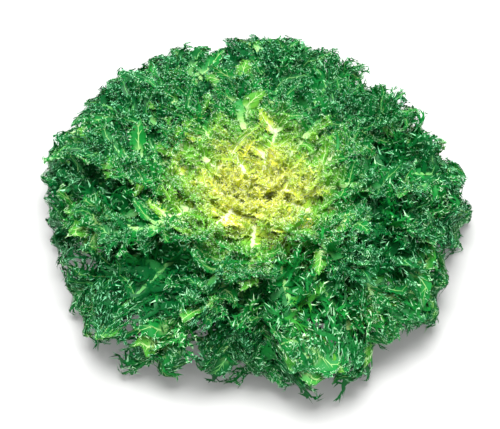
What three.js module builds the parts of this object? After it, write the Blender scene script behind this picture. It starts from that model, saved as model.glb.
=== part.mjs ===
// A head of curly endive, cut at the root and standing on its cut stem, heart upwards.
// The stem is a short stump. Its leaves stand round it at the golden angle, the longest lowest down.
// Each leaf is one closed body: a rib, and side lobes that end in curled teeth. Millimetres, +Z up.
import * as THREE from "three";

// The head
const HEAD_RADIUS = 163;
const LEAF_COUNT = 54;
const GOLDEN_ANGLE = THREE.MathUtils.degToRad(137.508);
const REACH_POWER = 2.7;
const INNERMOST_REACH = 0.03;
const SHORTEST_REACH = 0.96;
const TIP_DROP = 7;
const AZIMUTH_SPREAD = 3;
const TIP_LIFT_SPREAD = 8;
// Height of the leaf tips against their distance from the axis: a low crown with a slightly sunken heart
const CROWN = [
  [0, 56],
  [30, 60],
  [60, 66],
  [90, 70],
  [115, 68],
  [135, 58],
  [150, 43],
  [HEAD_RADIUS, 20],
];

// The stump, from its cut face up to its growing point
const STUMP_PROFILE = [
  [15, 0],
  [17.5, 4],
  [17.5, 16],
  [15, 25],
  [8, 32],
  [0, 34],
];
const STUMP_SIDES = 16;
const FIRST_ROOT = 0.16;
const LAST_ROOT = 0.93;
const ROOT_GAP = 0.9;

// A leaf, from the outermost to the innermost
const RIB_WIDTH = [9, 4];
const RIB_TIP_WIDTH = 2.4;
const RIB_DEPTH = [2.6, 1.6];
const BLADE_DEPTH = 0.8;
const RIB_TAPER_POWER = 0.8;
const DEPTH_TAPER = 1.3;
const ROOT_LIFT = [9, 84];
const ROOT_LIFT_POWER = 0.8;
const TIP_LIFT = [-38, 62];
const TIP_LIFT_POWER = 1.3;
const ARCH = 0.42;
const FRILL_LENGTH = [92, 42];
const MOST_FRILL = 0.72;
const LOBE_LENGTH = [42, 19];
const SWAY = [10, 3];
const RIB_END = 0.88;
const STEM_STEPS = 3;
const LOBE_STEPS = 4;

// The stages of growth, each up to its share of the leaves
const STAGES = [
  ["outer", 0.36],
  ["middle", 0.66],
  ["inner", 0.86],
  ["heart", 1],
];

// How a lobe leaves the rib, and how it curls, in degrees
const LOBE_TILT = [10, 34];
const LOBE_FORWARD = [20, 42];
const LOBE_FORWARD_SPREAD = 6;
const LOBE_LENGTH_SPREAD = [0.88, 1.08];
const SHORTEST_SWELL = 0.7;
const SWELL_RANGE = [0.15, 0.8];
const LOBE_CURL = 26;
const LOBE_TWIST = 34;
const LOBE_TURN = 12;
const END_LOBE_WIDTH = 2.6;
const END_LOBE_LENGTH = 0.8;

// A lobe's outline. Widths are shares of its root's width, and the rest are shares of its length.
const LOBE_WIDTHS = [0.62, 0.72, 0.46];
const WIDEST_ROOT = 0.42;
const LOBE_SPANS = [0.3, 0.3, 0.22];
const LOBE_POINT = 0.2;
const LOBE_POINT_LIFT = 0.04;
const TOOTH_PLACE = 0.62;
const TOOTH_REACH = 0.3;
const TOOTH_AHEAD = 0.12;
const TOOTH_LIFT = 0.4;
const TOOTH_SIZES = [0.55, 1];
const CURL_SHARES = [0.3, 1];

// What is tried, in turn, where a lobe has no room: smaller sizes, and leans in degrees
const LOBE_SIZES = [1, 0.82, 0.66, 0.5, 0.38];
const LOBE_LEANS = [0, 14, -14, 28, -28, 44, -44];

// Room kept between blades, measured between dots spread over them
const DOT_SPACING = 1.3;
const CLEARANCE = 1.95;
const FLOOR_GAP = 1;

const COLOURS = {
  stump: 0xe9ecd0,
  outer: 0x1f6f35,
  middle: 0x3f9440,
  inner: 0x8fbe4a,
  heart: 0xd8dc6c,
};

const radians = THREE.MathUtils.degToRad;
const mix = (a, b, t) => a + (b - a) * t;
const between = (pair, t) => mix(pair[0], pair[1], t);

// A seeded random draw between 0 and 1
function dice(seed) {
  let state = (seed * 7919 + 101) % 2147483647;
  return () => {
    state = (state * 16807) % 2147483647;
    return state / 2147483647;
  };
}

// Height on the crown at a distance from the axis
function crownHeight(radius) {
  const next = CROWN.findIndex(([r]) => r >= radius);
  if (next <= 0) return CROWN[next < 0 ? CROWN.length - 1 : 0][1];
  const [r0, z0] = CROWN[next - 1];
  const [r1, z1] = CROWN[next];
  return mix(z0, z1, (radius - r0) / (r1 - r0));
}

// A point on the stump's side and its outward direction, at a share of the way up the profile
function stumpSurface(share) {
  const spans = STUMP_PROFILE.slice(1).map(([r, z], i) =>
    Math.hypot(r - STUMP_PROFILE[i][0], z - STUMP_PROFILE[i][1]),
  );
  let left = share * spans.reduce((a, b) => a + b, 0);
  let i = 0;
  while (left > spans[i]) left -= spans[i++];
  const [r0, z0] = STUMP_PROFILE[i];
  const [r1, z1] = STUMP_PROFILE[i + 1];
  const t = left / spans[i];
  const out = new THREE.Vector2(z1 - z0, r0 - r1).normalize();
  return { point: new THREE.Vector2(mix(r0, r1, t), mix(z0, z1, t)), out };
}

// The line of a leaf's rib: a curve in the upright plane of its azimuth, swayed a little to one side
function leafSpine(index) {
  const draw = dice(index + 1);
  const share = index / (LEAF_COUNT - 1);
  const azimuth = index * GOLDEN_ANGLE + radians(AZIMUTH_SPREAD * mix(-1, 1, draw()));
  const span = 1 - (1 - INNERMOST_REACH) * share ** REACH_POWER;
  const reach = HEAD_RADIUS * span * mix(SHORTEST_REACH, 1, draw());
  const tipLift = radians(between(TIP_LIFT, share ** TIP_LIFT_POWER) + TIP_LIFT_SPREAD * mix(-1, 1, draw()));
  const rootLift = radians(between(ROOT_LIFT, share ** ROOT_LIFT_POWER));
  const sway = between(SWAY, share) * mix(-1, 1, draw());
  const { point, out } = stumpSurface(mix(FIRST_ROOT, LAST_ROOT, share));
  const root = point.addScaledVector(out, ROOT_GAP);
  const tip = new THREE.Vector2(reach, crownHeight(reach) - TIP_DROP * draw());
  const pull = root.distanceTo(tip) * ARCH;
  const controls = [
    root,
    new THREE.Vector2(Math.cos(rootLift), Math.sin(rootLift)).multiplyScalar(pull).add(root),
    new THREE.Vector2(-Math.cos(tipLift), -Math.sin(tipLift)).multiplyScalar(pull).add(tip),
    tip,
  ];
  const flat = new THREE.CubicBezierCurve(...controls);
  const away = new THREE.Vector3(Math.cos(azimuth), Math.sin(azimuth), 0);
  const aside = new THREE.Vector3(-Math.sin(azimuth), Math.cos(azimuth), 0);
  const length = flat.getLength();
  const at = (t) => {
    const p = flat.getPointAt(t);
    return away.clone().multiplyScalar(p.x).addScaledVector(aside, sway * t * t).setZ(p.y);
  };
  return { share, length, at, aside };
}

// Right, forward and up directions of a blade, and the middle of its section
class Frame {
  constructor(position, right, forward) {
    this.position = position;
    this.forward = forward.clone().normalize();
    this.up = right.clone().cross(this.forward).normalize();
    this.right = this.forward.clone().cross(this.up);
  }

  // Turns about the frame's own axes, then moves forward
  step(distance, { curl = 0, turn = 0, twist = 0 }) {
    const spin = new THREE.Quaternion()
      .setFromAxisAngle(this.right, curl)
      .premultiply(new THREE.Quaternion().setFromAxisAngle(this.up, turn))
      .premultiply(new THREE.Quaternion().setFromAxisAngle(this.forward, twist));
    const forward = this.forward.clone().applyQuaternion(spin);
    const right = this.right.clone().applyQuaternion(spin);
    return new Frame(this.position.clone().addScaledVector(forward, distance), right, forward);
  }

  point(x, y, z) {
    return this.position
      .clone()
      .addScaledVector(this.right, x)
      .addScaledVector(this.forward, y)
      .addScaledVector(this.up, z);
  }
}

// Dots already taken by blades, in a grid of cells
class Room {
  constructor() {
    this.cells = new Map();
  }

  key(x, y, z) {
    return `${x},${y},${z}`;
  }

  add(dots, owner) {
    for (const { point, neck } of dots) {
      const key = this.key(...point.toArray().map((v) => Math.floor(v / CLEARANCE)));
      if (!this.cells.has(key)) this.cells.set(key, []);
      this.cells.get(key).push({ point, neck, owner });
    }
  }

  // Whether dots keep clear of every other blade. Blades of one leaf may meet at their necks.
  clear(dots, owner) {
    return dots.every(({ point, neck }) => {
      const [cx, cy, cz] = point.toArray().map((v) => Math.floor(v / CLEARANCE));
      for (let x = cx - 1; x <= cx + 1; x++)
        for (let y = cy - 1; y <= cy + 1; y++)
          for (let z = cz - 1; z <= cz + 1; z++)
            for (const other of this.cells.get(this.key(x, y, z)) ?? []) {
              if (other.owner === owner && neck && other.neck) continue;
              if (other.point.distanceTo(point) < CLEARANCE) return false;
            }
      return point.z > FLOOR_GAP;
    });
  }
}

// A mesh that grows by rings of four corners: top left, top right, bottom right, bottom left
class Blade {
  constructor() {
    this.points = [];
    this.faces = [];
  }

  vertex(point) {
    return this.points.push(point) - 1;
  }

  quad(a, b, c, d) {
    this.faces.push([a, b, c], [a, c, d]);
  }

  spike([a, b, c, d], apex) {
    const x = this.vertex(apex);
    this.faces.push([a, b, x], [b, c, x], [c, d, x], [d, a, x]);
  }

  ring(frame, width, depth) {
    const [w, d] = [width / 2, depth / 2];
    const corners = [[-w, d], [w, d], [w, -d], [-w, -d]];
    return corners.map(([x, z]) => this.vertex(frame.point(x, 0, z)));
  }

  // Top and bottom of a span, both split along the same diagonal
  span(from, to) {
    const [tl, tr, br, bl] = from;
    const [ntl, ntr, nbr, nbl] = to;
    this.quad(tl, tr, ntr, ntl);
    this.faces.push([bl, nbl, nbr], [bl, nbr, br]);
    return { right: [tr, br, nbr, ntr], left: [tl, ntl, nbl, bl] };
  }

  // Whether an edge of one face passes through another face that it doesn't touch
  pierces(face, other) {
    const [a, b, c] = other.map((i) => this.points[i]);
    return [0, 1, 2].some((i) => {
      const [from, to] = [face[i], face[(i + 1) % 3]];
      if (other.includes(from) || other.includes(to)) return false;
      const span = this.points[to].clone().sub(this.points[from]);
      const ray = new THREE.Ray(this.points[from], span.clone().normalize());
      const hit = ray.intersectTriangle(a, b, c, false, new THREE.Vector3());
      return hit !== null && hit.distanceTo(ray.origin) <= span.length();
    });
  }

  // Whether any face from a place in the list onwards crosses another
  crossesFrom(start) {
    const corners = (face) => face.map((i) => this.points[i]);
    const boxes = this.faces.map((face) => new THREE.Box3().setFromPoints(corners(face)));
    for (let i = start; i < this.faces.length; i++)
      for (let j = 0; j < i; j++) {
        if (!boxes[i].intersectsBox(boxes[j])) continue;
        const [one, two] = [this.faces[i], this.faces[j]];
        if (this.pierces(one, two) || this.pierces(two, one)) return true;
      }
    return false;
  }

  geometry() {
    const geometry = new THREE.BufferGeometry();
    const numbers = this.points.flatMap((p) => p.toArray());
    geometry.setAttribute("position", new THREE.Float32BufferAttribute(numbers, 3));
    geometry.setIndex(this.faces.flat());
    geometry.computeVertexNormals();
    return geometry;
  }
}

// The frames, widths and teeth of one lobe that leaves the rib at a root frame
function lobeShape(root, rootWidth, length, bend, teeth) {
  const widths = LOBE_WIDTHS.map((k) => k * Math.min(rootWidth, length * WIDEST_ROOT));
  const steps = LOBE_SPANS.map((k) => k * length);
  const sections = [{ frame: root, width: rootWidth }];
  steps.forEach((distance, i) => {
    const { frame } = sections[i];
    sections.push({ frame: frame.step(distance, bend[i]), width: widths[i] });
  });
  const last = sections[3];
  const tip = last.frame.point(0, LOBE_POINT * length, LOBE_POINT_LIFT * length);
  const points = [];
  for (const i of [1, 2])
    for (const side of [-1, 1]) {
      const a = sections[i];
      const b = sections[i + 1];
      const size = teeth[points.length];
      const reach = (a.width + b.width) / 4 + size * TOOTH_REACH * length;
      const apex = a.frame.position
        .clone()
        .lerp(b.frame.position, TOOTH_PLACE)
        .addScaledVector(a.frame.right, side * reach)
        .addScaledVector(b.frame.forward, TOOTH_AHEAD * length)
        .addScaledVector(a.frame.up, (0.9 - size) * TOOTH_LIFT * length);
      points.push({ apex, span: i, side });
    }
  return { sections, tip, points };
}

// Dots over a lobe's middle surface and along its teeth
function lobeDots({ sections, tip, points }) {
  const dots = [];
  const put = (point, neck = false) => dots.push({ point, neck });
  sections.slice(1).forEach(({ frame, width }, i) => {
    const from = sections[i];
    const along = Math.max(2, Math.ceil(frame.position.distanceTo(from.frame.position) / DOT_SPACING));
    const across = Math.max(2, Math.ceil(Math.max(width, from.width) / DOT_SPACING));
    for (let a = 1; a <= along; a++)
      for (let c = 0; c <= across; c++) {
        const x = c / across - 0.5;
        const start = from.frame.point(x * from.width, 0, 0);
        put(start.lerp(frame.point(x * width, 0, 0), a / along), i === 0);
      }
  });
  const spikes = points.flatMap(({ apex, span, side }) => {
    const [a, b] = [sections[span], sections[span + 1]];
    const near = a.frame.point((side * a.width) / 2, 0, 0);
    const far = b.frame.point((side * b.width) / 2, 0, 0);
    return [near, far, near.clone().lerp(far, 0.5)].map((corner) => [corner, apex]);
  });
  for (const [from, to] of [...spikes, [sections[3].frame.position, tip]]) {
    const count = Math.max(2, Math.ceil(from.distanceTo(to) / DOT_SPACING));
    for (let a = 1; a <= count; a++) put(from.clone().lerp(to, a / count));
  }
  return dots;
}

// Adds a lobe on a wall of four corners. The first size and lean that keep clear are taken.
function growLobe(blade, room, owner, wall, root, rootWidth, length, tilt, draw) {
  const sign = Math.sign(tilt);
  const curls = [0, 1, 2].map(() => between(CURL_SHARES, draw()));
  const twist = mix(-1, 1, draw());
  const teeth = [0, 1, 2, 3].map(() => between(TOOTH_SIZES, draw()));
  for (const size of LOBE_SIZES)
    for (const lean of LOBE_LEANS) {
      const bend = [
        { curl: radians(tilt + lean), twist: radians(LOBE_TWIST * twist) },
        { curl: radians(sign * LOBE_CURL * curls[0]), twist: radians(LOBE_TWIST * twist) },
        { curl: radians(-sign * LOBE_CURL * curls[1]), turn: radians(LOBE_TURN * twist) },
      ];
      const shape = lobeShape(root, rootWidth, length * size, bend, teeth);
      const dots = lobeDots(shape);
      if (!room.clear(dots, owner)) continue;
      const [pointCount, faceCount] = [blade.points.length, blade.faces.length];
      let ring = wall;
      shape.sections.slice(1).forEach(({ frame, width }, i) => {
        const next = blade.ring(frame, width, BLADE_DEPTH);
        const walls = blade.span(ring, next);
        for (const side of ["left", "right"]) {
          const tooth = shape.points.find((p) => p.span === i && p.side === (side === "left" ? -1 : 1));
          if (tooth) blade.spike(walls[side], tooth.apex);
          else blade.quad(...walls[side]);
        }
        ring = next;
      });
      blade.spike(ring, shape.tip);
      if (!blade.crossesFrom(faceCount)) {
        room.add(dots, owner);
        return;
      }
      blade.points.length = pointCount;
      blade.faces.length = faceCount;
    }
  blade.quad(...wall);
}

// Rib frames of a leaf: a few bare ones up the stalk, then one for each pair of lobes
function ribSections(spine) {
  const { share, length, at, aside } = spine;
  const frill = Math.min(between(FRILL_LENGTH, share), length * MOST_FRILL);
  const bare = 1 - frill / length;
  const stations = [];
  for (let i = 0; i <= STEM_STEPS; i++) stations.push((bare * i) / STEM_STEPS);
  for (let i = 1; i <= LOBE_STEPS; i++) stations.push(mix(bare, RIB_END, i / LOBE_STEPS));
  return stations.map((t) => {
    const ahead = at(Math.min(1, t + 0.01)).sub(at(Math.max(0, t - 0.01)));
    const frame = new Frame(at(t), aside.clone().negate(), ahead);
    return {
      t,
      frame,
      width: mix(between(RIB_WIDTH, share), RIB_TIP_WIDTH, t ** RIB_TAPER_POWER),
      depth: mix(between(RIB_DEPTH, share), BLADE_DEPTH, Math.min(1, t * DEPTH_TAPER)),
    };
  });
}

function ribDots(sections) {
  const dots = [];
  sections.slice(1).forEach(({ frame, width }, i) => {
    const from = sections[i];
    const along = Math.ceil(frame.position.distanceTo(from.frame.position) / DOT_SPACING);
    for (let a = 0; a < along; a++)
      for (const x of [-0.5, -0.25, 0, 0.25, 0.5]) {
        const start = from.frame.point(x * from.width, 0, 0);
        dots.push({ point: start.lerp(frame.point(x * width, 0, 0), a / along), neck: true });
      }
  });
  return dots;
}

// One leaf: the rib first, then its side lobes from the stalk to the tip, then the end lobe
function leafGeometry(index, sections, room) {
  const { share } = leafSpine(index);
  const draw = dice(1000 + index);
  const blade = new Blade();
  const rings = sections.map(({ frame, width, depth }) => blade.ring(frame, width, depth));
  const longest = between(LOBE_LENGTH, share);
  const [tl, tr, br, bl] = rings[0];
  blade.quad(tl, bl, br, tr);
  const spans = rings.slice(1).map((ring, i) => blade.span(rings[i], ring));
  sections.slice(1).forEach((section, i) => {
    const from = sections[i];
    const walls = spans[i];
    const lobed = i >= STEM_STEPS;
    if (!lobed) {
      blade.quad(...walls.left);
      blade.quad(...walls.right);
      return;
    }
    const place = (i - STEM_STEPS) / (LOBE_STEPS - 1);
    const wide = section.frame.position.distanceTo(from.frame.position);
    const middle = new Frame(
      from.frame.position.clone().lerp(section.frame.position, 0.5),
      from.frame.right.clone().add(section.frame.right),
      from.frame.forward.clone().add(section.frame.forward),
    );
    for (const [name, side] of [["left", -1], ["right", 1]]) {
      const outward = middle.right.clone().multiplyScalar(side);
      const right = middle.forward.clone().multiplyScalar(-side);
      const edge = middle.point((side * (from.width + section.width)) / 4, 0, 0);
      const forward = radians(between(LOBE_FORWARD, place) * side + LOBE_FORWARD_SPREAD * mix(-1, 1, draw()));
      const aim = outward.applyAxisAngle(middle.up, forward);
      const root = new Frame(edge, right.applyAxisAngle(middle.up, forward), aim);
      const [a, b, c, d] = walls[name];
      const wall = side > 0 ? [d, a, b, c] : [a, b, c, d];
      const swell = mix(SHORTEST_SWELL, 1, Math.sin(Math.PI * between(SWELL_RANGE, place)));
      const length = longest * swell * between(LOBE_LENGTH_SPREAD, draw());
      const tilt = ((i + (side > 0 ? 1 : 0)) % 2 ? 1 : -1) * between(LOBE_TILT, draw());
      growLobe(blade, room, index, wall, root, wide, length, tilt, draw);
    }
  });
  const end = sections[sections.length - 1];
  const wall = rings[rings.length - 1];
  const [endWidth, endLength] = [end.width * END_LOBE_WIDTH, longest * END_LOBE_LENGTH];
  growLobe(blade, room, index, wall, end.frame, endWidth, endLength, LOBE_TILT[0], draw);
  return blade.geometry();
}

const stage = (share) => STAGES.find(([, limit]) => share <= limit)[0];

function material(name) {
  return new THREE.MeshStandardMaterial({ color: COLOURS[name], roughness: 0.55, metalness: 0 });
}

function stump() {
  const outline = [[0, 0], ...STUMP_PROFILE].map(([r, z]) => new THREE.Vector2(r, z));
  const geometry = new THREE.LatheGeometry(outline, STUMP_SIDES).rotateX(Math.PI / 2);
  const mesh = new THREE.Mesh(geometry, material("stump"));
  mesh.name = "stem_stump";
  return mesh;
}

const head = new THREE.Group();
head.name = "curly_endive_head";
head.add(stump());

const room = new Room();
const ribs = [...Array(LEAF_COUNT).keys()].map((index) => ribSections(leafSpine(index)));
ribs.forEach((sections, index) => room.add(ribDots(sections), index));
const counts = {};
ribs.forEach((sections, index) => {
  const name = stage(index / (LEAF_COUNT - 1));
  counts[name] = (counts[name] ?? 0) + 1;
  const leaf = new THREE.Mesh(leafGeometry(index, sections, room), material(name));
  leaf.name = `${name}_leaf_${String(counts[name]).padStart(2, "0")}`;
  head.add(leaf);
});

export default head;
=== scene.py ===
"""A head of curly endive, cut at the root, in its finished look.

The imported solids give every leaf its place: a rib that leaves the stump and the side lobes along it. Here
each leaf is rebuilt on the same rib line with its real frill: lobes cut into lobelets, and lobelets cut into
curled teeth. Lengths are in millimetres until a mesh is made, which is in metres, as the frame is.
"""

import logging
import math
from dataclasses import dataclass, field
from enum import Enum

import bmesh
import bpy
import numpy as np
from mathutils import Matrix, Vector


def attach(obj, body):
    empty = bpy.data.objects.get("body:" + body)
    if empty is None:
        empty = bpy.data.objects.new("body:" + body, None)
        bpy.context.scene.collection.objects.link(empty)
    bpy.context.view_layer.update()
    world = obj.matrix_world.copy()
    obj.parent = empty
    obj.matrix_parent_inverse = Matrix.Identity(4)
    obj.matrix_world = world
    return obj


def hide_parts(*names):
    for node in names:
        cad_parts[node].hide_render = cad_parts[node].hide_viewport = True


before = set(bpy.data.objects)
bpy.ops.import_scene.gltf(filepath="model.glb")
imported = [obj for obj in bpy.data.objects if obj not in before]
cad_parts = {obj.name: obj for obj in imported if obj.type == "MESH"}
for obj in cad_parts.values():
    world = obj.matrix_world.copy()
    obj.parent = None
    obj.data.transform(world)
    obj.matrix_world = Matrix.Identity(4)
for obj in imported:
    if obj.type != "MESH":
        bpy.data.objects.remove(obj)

LOG = logging.getLogger("endive")
MM = 0.001
UV_MAP = "OFBake"
SHARP_EDGE = math.radians(70)
SIDES = (-1, 1)  # left and right
Number = float | np.ndarray
# What a node's input may be given: an output to read or a plain value
Input = bpy.types.NodeSocket | float | tuple | None


def mix(low: Number, high: Number, share: Number) -> Number:
    """The value at a share of the way from low to high."""
    return low + (high - low) * share


def ramp(low: float, high: float, values: np.ndarray) -> np.ndarray:
    """A smooth step from 0 at low to 1 at high."""
    share = np.clip((values - low) / (high - low), 0.0, 1.0)
    return share * share * (3 - 2 * share)


class Dice:
    """The seeded draws that the solids use, so that a leaf leans the same way here."""

    MODULUS = 2147483647
    FACTOR = 16807
    SEED_STEP = 7919
    SEED_START = 101

    def __init__(self, seed: int) -> None:
        """Starts the draws of one leaf."""
        self.state = (seed * self.SEED_STEP + self.SEED_START) % self.MODULUS

    def __call__(self) -> float:
        """The next number between 0 and 1."""
        self.state = (self.state * self.FACTOR) % self.MODULUS
        return self.state / self.MODULUS


@dataclass(frozen=True)
class HeadPlan:
    """The driving sizes of the head: the solids' own, with side lobes 3 to 4 mm longer and finer rib tips.

    Of the pairs for leaves, the first number is the outermost leaf's and the second the innermost's.
    """

    radius: float = 163.0
    golden_angle: float = 137.508
    reach_power: float = 2.7
    azimuth_spread: float = 3.0
    innermost_reach: float = 0.03
    reach_spread: tuple = (0.96, 1.0)
    crown: tuple = ((0, 56), (30, 60), (60, 66), (90, 70), (115, 68), (135, 58), (150, 43), (163, 20))
    stump_profile: tuple = ((15, 0), (17.5, 4), (17.5, 16), (15, 25), (8, 32), (0, 34))
    first_root: float = 0.16
    last_root: float = 0.93
    root_gap: float = 0.9
    rib_width: tuple = (9.0, 4.0)
    rib_tip_width: float = 2.2
    rib_depth: tuple = (2.6, 1.6)
    root_lift: tuple = (9.0, 84.0)
    root_lift_power: float = 0.8
    tip_lift: tuple = (-38.0, 62.0)
    tip_lift_power: float = 1.3
    tip_lift_spread: float = 8.0
    tip_dip: tuple = (0.0, 7.0)
    arch: float = 0.42
    frill_length: tuple = (92.0, 42.0)
    lobe_length: tuple = (46.0, 22.0)
    sway: tuple = (10.0, 3.0)

    def crown_height(self, radius: Number) -> Number:
        """Height of the leaf tips at a distance from the axis."""
        return np.interp(radius, *zip(*self.crown))

    def stump_surface(self, share: float) -> tuple[np.ndarray, np.ndarray]:
        """A point on the stump's side at a share of the way up its profile.

        Args:
            share: 0 at the edge of the cut face, 1 at the growing point.

        Returns:
            The point and the outward direction, each as distance from the axis and height.
        """
        profile = np.array(self.stump_profile, float)
        spans = np.linalg.norm(np.diff(profile, axis=0), axis=1)
        left = share * spans.sum()
        i = 0
        while left > spans[i]:
            left -= spans[i]
            i += 1
        run = profile[i + 1] - profile[i]
        out = np.array([run[1], -run[0]])
        return profile[i] + run * left / spans[i], out / np.linalg.norm(out)


@dataclass
class Axes:
    """A place on a blade with its right, forward and up directions as the columns of a turn."""

    place: np.ndarray
    turn: np.ndarray

    def spun(self, curl: float = 0.0, turn: float = 0.0, twist: float = 0.0) -> np.ndarray:
        """The turn after spins about the own right, up and forward directions.

        Args:
            curl: degrees about the right direction, upwards.
            turn: degrees about the up direction, to the left.
            twist: degrees about the forward direction.

        Returns:
            The spun directions, as the columns of a turn.
        """
        angles = [math.radians(degrees) for degrees in (curl, turn, twist)]
        (sc, cc), (st, ct), (sw, cw) = [(math.sin(angle), math.cos(angle)) for angle in angles]
        about_right = np.array([[1, 0, 0], [0, cc, -sc], [0, sc, cc]])
        about_up = np.array([[ct, -st, 0], [st, ct, 0], [0, 0, 1]])
        about_forward = np.array([[cw, 0, sw], [0, 1, 0], [-sw, 0, cw]])
        return self.turn @ about_up @ about_right @ about_forward

    def step(self, distance: float, curl: float = 0.0, turn: float = 0.0, twist: float = 0.0) -> "Axes":
        """Spins, then moves forward."""
        spun = self.spun(curl, turn, twist)
        return Axes(self.place + spun[:, 1] * distance, spun)

    def aside(self, x: float, y: float = 0.0, z: float = 0.0) -> "Axes":
        """The same directions at a point given in them."""
        return Axes(self.place + self.turn @ np.array([x, y, z]), self.turn)


def between(a: Axes, b: Axes, share: float) -> Axes:
    """A place on the straight line between two, with the first one's directions."""
    return Axes(mix(a.place, b.place, share), a.turn)


class Shape:
    """Closed bodies gathered into one mesh.

    Each point has two finish coordinates: how far across its blade it lies, and how far it is from the rib,
    from 0 on the rib to 1 at the point of a tooth.
    """

    def __init__(self) -> None:
        """Starts empty."""
        self.points: list[np.ndarray] = []
        self.faces: list[np.ndarray] = []
        self.marks: list[np.ndarray] = []
        self.count = 0

    def add(self, points: np.ndarray, faces: np.ndarray, marks: np.ndarray) -> None:
        """Adds one body.

        Args:
            points: its points.
            faces: its triangles, as numbers of its points.
            marks: the finish coordinates of its points.
        """
        self.points.append(points)
        self.faces.append(faces + self.count)
        self.marks.append(marks)
        self.count += len(points)

    def whole(self) -> tuple[np.ndarray, np.ndarray, np.ndarray]:
        """All points, triangles and finish coordinates."""
        return np.concatenate(self.points), np.concatenate(self.faces), np.concatenate(self.marks)

    def blade(self, path: list[Axes], widths: list[float], depth: float, reach: tuple, columns: int = 3,
              cup: float = 0.0, wave: float = 0.0, fade: float = 0.0) -> None:
        """A thin leaf blade along a path, sharp at both sides, that ends in a point.

        Args:
            path: where it runs.
            widths: its width at each place of the path but the last, which is its point.
            depth: its thickness along the middle.
            reach: finish coordinate at its root and at its point.
            columns: points across it, both sides counted.
            cup: how far its sides rise, as a share of its width.
            wave: how far its sides swing up and down by turns, as a share of its width.
            fade: how much nearer to the rib its middle counts than its sides do.
        """
        across = np.linspace(-0.5, 0.5, columns)
        inner = columns - 2
        ring = columns + inner
        points, marks = [], []
        for i, (axes, width) in enumerate(zip(path, widths)):
            lift = (cup * 4 * across**2 + wave * 2 * across * (-1) ** i) * width
            body = depth / 2 * (1 - (2 * across) ** 2)
            top = np.stack([across * width, 0 * across, lift + body], 1)
            low = np.stack([across * width, 0 * across, lift - body], 1)[1:-1]
            points.append(axes.place + np.concatenate([top, low]) @ axes.turn.T)
            aside = np.concatenate([across, across[1:-1]])
            far = mix(*reach, i / len(widths)) + fade * (np.abs(2 * aside) - 1)
            marks.append(np.stack([aside, far], 1))
        points.append(path[len(widths)].place[None])
        marks.append(np.array([[0.0, reach[1]]]))
        top = np.arange(columns)
        low = np.concatenate([[0], np.arange(inner) + columns, [columns - 1]])
        faces = []
        for i in range(len(widths) - 1):
            a, b = i * ring, (i + 1) * ring
            for j in range(columns - 1):
                t0, t1, u0, u1 = a + top[j], a + top[j + 1], b + top[j], b + top[j + 1]
                l0, l1, m0, m1 = a + low[j], a + low[j + 1], b + low[j], b + low[j + 1]
                faces += [(t0, t1, u1), (t0, u1, u0), (l0, m1, l1), (l0, m0, m1)]
        last, apex = (len(widths) - 1) * ring, len(widths) * ring
        for j in range(columns - 1):
            faces += [(last + top[j], last + top[j + 1], apex), (last + low[j + 1], last + low[j], apex)]
            if j > 0:
                faces.append((low[j], low[j + 1], top[j]))
            if j < columns - 2:
                faces.append((low[j + 1], top[j + 1], top[j]))
        self.add(np.concatenate(points), np.array(faces), np.concatenate(marks))

    def tooth(self, path: list[Axes], widths: list[float], depth: float, reach: tuple) -> None:
        """A pointed tooth of three sides along a path.

        Args:
            path: where it runs.
            widths: its width at each place of the path but the last, which is its point.
            depth: its thickness.
            reach: finish coordinate at its root and at its point.
        """
        points, marks = [], []
        for i, (axes, width) in enumerate(zip(path, widths)):
            corners = np.array([[-width / 2, 0, 0], [width / 2, 0, 0], [0, 0, -depth]])
            points.append(axes.place + corners @ axes.turn.T)
            marks.append(np.array([[-0.5, 0], [0.5, 0], [0, 0]]) + [0, mix(*reach, i / len(widths))])
        points.append(path[len(widths)].place[None])
        marks.append(np.array([[0.0, reach[1]]]))
        faces = [(2, 1, 0)]
        for i in range(len(widths) - 1):
            a = 3 * i
            for j, k in ((0, 1), (1, 2), (2, 0)):
                faces += [(a + j, a + k, a + 3 + k), (a + j, a + 3 + k, a + 3 + j)]
        a = 3 * (len(widths) - 1)
        faces += [(a, a + 1, a + 3), (a + 1, a + 2, a + 3), (a + 2, a, a + 3)]
        self.add(np.concatenate(points), np.array(faces), np.concatenate(marks))


class Cut(Enum):
    """How finely a side lobe is cut."""

    FINE = "fine"
    MEDIUM = "medium"
    BROAD = "broad"
    SPARE = "spare"


@dataclass(frozen=True)
class LobePlan:
    """The sizes of one kind of side lobe, in shares of its length, and its bends in degrees.

    The root reach is how far from the rib its root counts, for the finish.
    """

    widths: tuple
    columns: int
    root_reach: float
    vein: float
    lobelets: int
    lobelet_length: float
    lobelet_width: float
    teeth: int
    tooth_length: float
    tooth_width: float
    curl: float
    lobelet_curl: float
    wave: float


LOBE_PLANS = {
    Cut.FINE: LobePlan(
        widths=(0.12, 0.13, 0.11, 0.09, 0.06), columns=3, root_reach=0.26, vein=0.0, lobelets=9,
        lobelet_length=0.36, lobelet_width=0.048, teeth=3, tooth_length=0.088, tooth_width=0.027,
        curl=26, lobelet_curl=44, wave=0.0,
    ),
    Cut.MEDIUM: LobePlan(
        widths=(0.16, 0.25, 0.24, 0.18, 0.10), columns=3, root_reach=0.26, vein=0.03, lobelets=9,
        lobelet_length=0.30, lobelet_width=0.054, teeth=3, tooth_length=0.084, tooth_width=0.027,
        curl=20, lobelet_curl=38, wave=0.12,
    ),
    Cut.BROAD: LobePlan(
        widths=(0.16, 0.30, 0.40, 0.38, 0.22), columns=5, root_reach=0.10, vein=0.045, lobelets=10,
        lobelet_length=0.18, lobelet_width=0.062, teeth=3, tooth_length=0.07, tooth_width=0.026,
        curl=13, lobelet_curl=30, wave=0.08,
    ),
    Cut.SPARE: LobePlan(
        widths=(0.15, 0.18, 0.16, 0.12, 0.08), columns=3, root_reach=0.26, vein=0.0, lobelets=6,
        lobelet_length=0.34, lobelet_width=0.07, teeth=1, tooth_length=0.14, tooth_width=0.04,
        curl=20, lobelet_curl=36, wave=0.1,
    ),
}
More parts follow.
